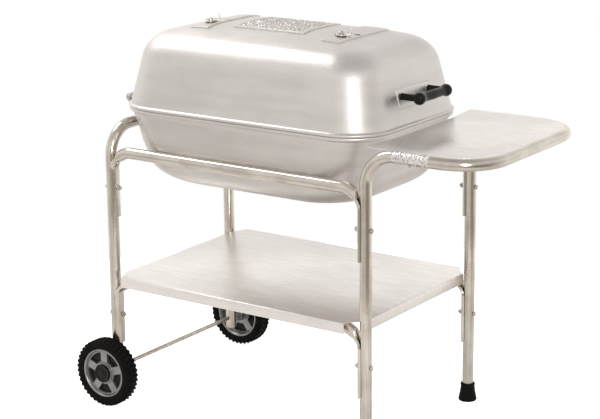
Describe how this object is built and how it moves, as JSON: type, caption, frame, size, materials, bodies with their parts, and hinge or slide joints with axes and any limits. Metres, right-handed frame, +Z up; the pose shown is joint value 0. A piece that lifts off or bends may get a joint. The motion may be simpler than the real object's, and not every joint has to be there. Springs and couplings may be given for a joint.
{
  "type": "charcoal grill and smoker cart",
  "caption": "Cast-aluminium charcoal grill and smoker with a hinged lid and swinging dampers, on a wheeled tube cart with side shelf and lower tray.",
  "frame": {"origin": "on the floor under the middle of the overall box", "axes": "+X from the wheel end toward the handle and side shelf, -Y is the front, +Z up"},
  "size_m": [1.0258, 0.552, 0.8852],
  "materials": {
    "cast_aluminium": "satin cast, lightly blasted",
    "polished_tube": "polished",
    "embossed_sheet": "stucco-embossed mill finish",
    "black_rubber": "matt moulded",
    "tyre_rubber": "matt moulded",
    "grey_hub": "satin moulded",
    "black_cap": "smooth moulded",
    "black_handle": "satin moulded",
    "zinc_steel": "zinc plated",
    "grate_steel": "worn steel"
  },
  "bodies": {
    "cart": {"left_end_frame": "polished_tube", "right_end_frame": "polished_tube", "top_rail_front": "polished_tube", "top_rail_back": "polished_tube", "shelf_rail_front": "polished_tube", "shelf_rail_back": "polished_tube", "lower_shelf": "embossed_sheet", "side_shelf": "embossed_sheet", "side_shelf_screw_front": "zinc_steel", "side_shelf_screw_back": "zinc_steel", "axle": "zinc_steel", "foot_front": "black_rubber", "foot_back": "black_rubber", "bolt_lower_left_front": "zinc_steel", "bolt_lower_left_back": "zinc_steel", "bolt_lower_right_front": "zinc_steel", "bolt_lower_right_back": "zinc_steel", "bolt_upper_left_front": "zinc_steel", "bolt_upper_left_back": "zinc_steel", "bolt_upper_right_front": "zinc_steel", "bolt_upper_right_back": "zinc_steel", "nut_lower_left_front": "zinc_steel", "nut_lower_left_back": "zinc_steel", "nut_lower_right_front": "zinc_steel", "nut_lower_right_back": "zinc_steel", "nut_upper_left_front": "zinc_steel", "nut_upper_left_back": "zinc_steel", "nut_upper_right_front": "zinc_steel", "nut_upper_right_back": "zinc_steel"},
    "capsule": {"base_tub": "cast_aluminium", "base_damper_bolt_left": "zinc_steel", "base_damper_bolt_right": "zinc_steel", "hinge_pin_front": "zinc_steel", "hinge_pin_back": "zinc_steel", "hinge_clip_front": "zinc_steel", "hinge_clip_back": "zinc_steel"},
    "lid": {"lid": "cast_aluminium", "handle_post_front": "black_handle", "handle_post_back": "black_handle", "handle_screw_front": "zinc_steel", "handle_screw_back": "zinc_steel", "handle_grip": "black_handle", "lid_damper_bolt_left": "zinc_steel", "lid_damper_bolt_right": "zinc_steel"},
    "lid_damper_left": {"lid_damper_left": "cast_aluminium"},
    "lid_damper_right": {"lid_damper_right": "cast_aluminium"},
    "base_damper_left": {"base_damper_left": "cast_aluminium"},
    "base_damper_right": {"base_damper_right": "cast_aluminium"},
    "cooking_grate": {"cooking_grate": "grate_steel"},
    "charcoal_grate": {"charcoal_grate": "grate_steel"},
    "wheel_front": {"tyre_front": "tyre_rubber", "wheel_hub_front": "grey_hub", "wheel_cap_front": "black_cap"},
    "wheel_back": {"tyre_back": "tyre_rubber", "wheel_hub_back": "grey_hub", "wheel_cap_back": "black_cap"}
  },
  "joints": [
    {"name": "capsule_lift", "type": "slide", "parent": "cart", "child": "capsule", "axis": [0, 0, 1], "range_m": [0, 0.15]},
    {"name": "lid_hinge", "type": "hinge", "parent": "capsule", "child": "lid", "pos_m": [-0.45614, 0, 0.688], "axis": [0, -1, 0], "range_deg": [0, 100]},
    {"name": "cooking_grate_lift", "type": "slide", "parent": "capsule", "child": "cooking_grate", "axis": [0, 0, 1], "range_m": [0, 0.04]},
    {"name": "charcoal_grate_lift", "type": "slide", "parent": "capsule", "child": "charcoal_grate", "axis": [0, 0, 1], "range_m": [0, 0.08]},
    {"name": "lid_damper_left_swing", "type": "hinge", "parent": "lid", "child": "lid_damper_left", "pos_m": [-0.27103, -0.05506, 0.86388], "axis": [-0.1286, -0.0204, 0.9915], "range_deg": [-60, 20]},
    {"name": "lid_damper_right_swing", "type": "hinge", "parent": "lid", "child": "lid_damper_right", "pos_m": [0.07275, -0.05506, 0.86388], "axis": [0.1286, -0.0204, 0.9915], "range_deg": [-60, 20]},
    {"name": "base_damper_left_swing", "type": "hinge", "parent": "capsule", "child": "base_damper_left", "pos_m": [-0.17714, 0, 0.5165], "axis": [0, 0, -1], "range_deg": [-60, 20]},
    {"name": "base_damper_right_swing", "type": "hinge", "parent": "capsule", "child": "base_damper_right", "pos_m": [-0.02114, 0, 0.5165], "axis": [0, 0, -1], "range_deg": [-60, 20]},
    {"name": "wheel_front_spin", "type": "hinge", "parent": "cart", "child": "wheel_front", "pos_m": [-0.43514, -0.2555, 0.0778], "axis": [0, 1, 0], "continuous": true},
    {"name": "wheel_back_spin", "type": "hinge", "parent": "cart", "child": "wheel_back", "pos_m": [-0.43514, 0.2555, 0.0778], "axis": [0, 1, 0], "continuous": true}
  ]
}
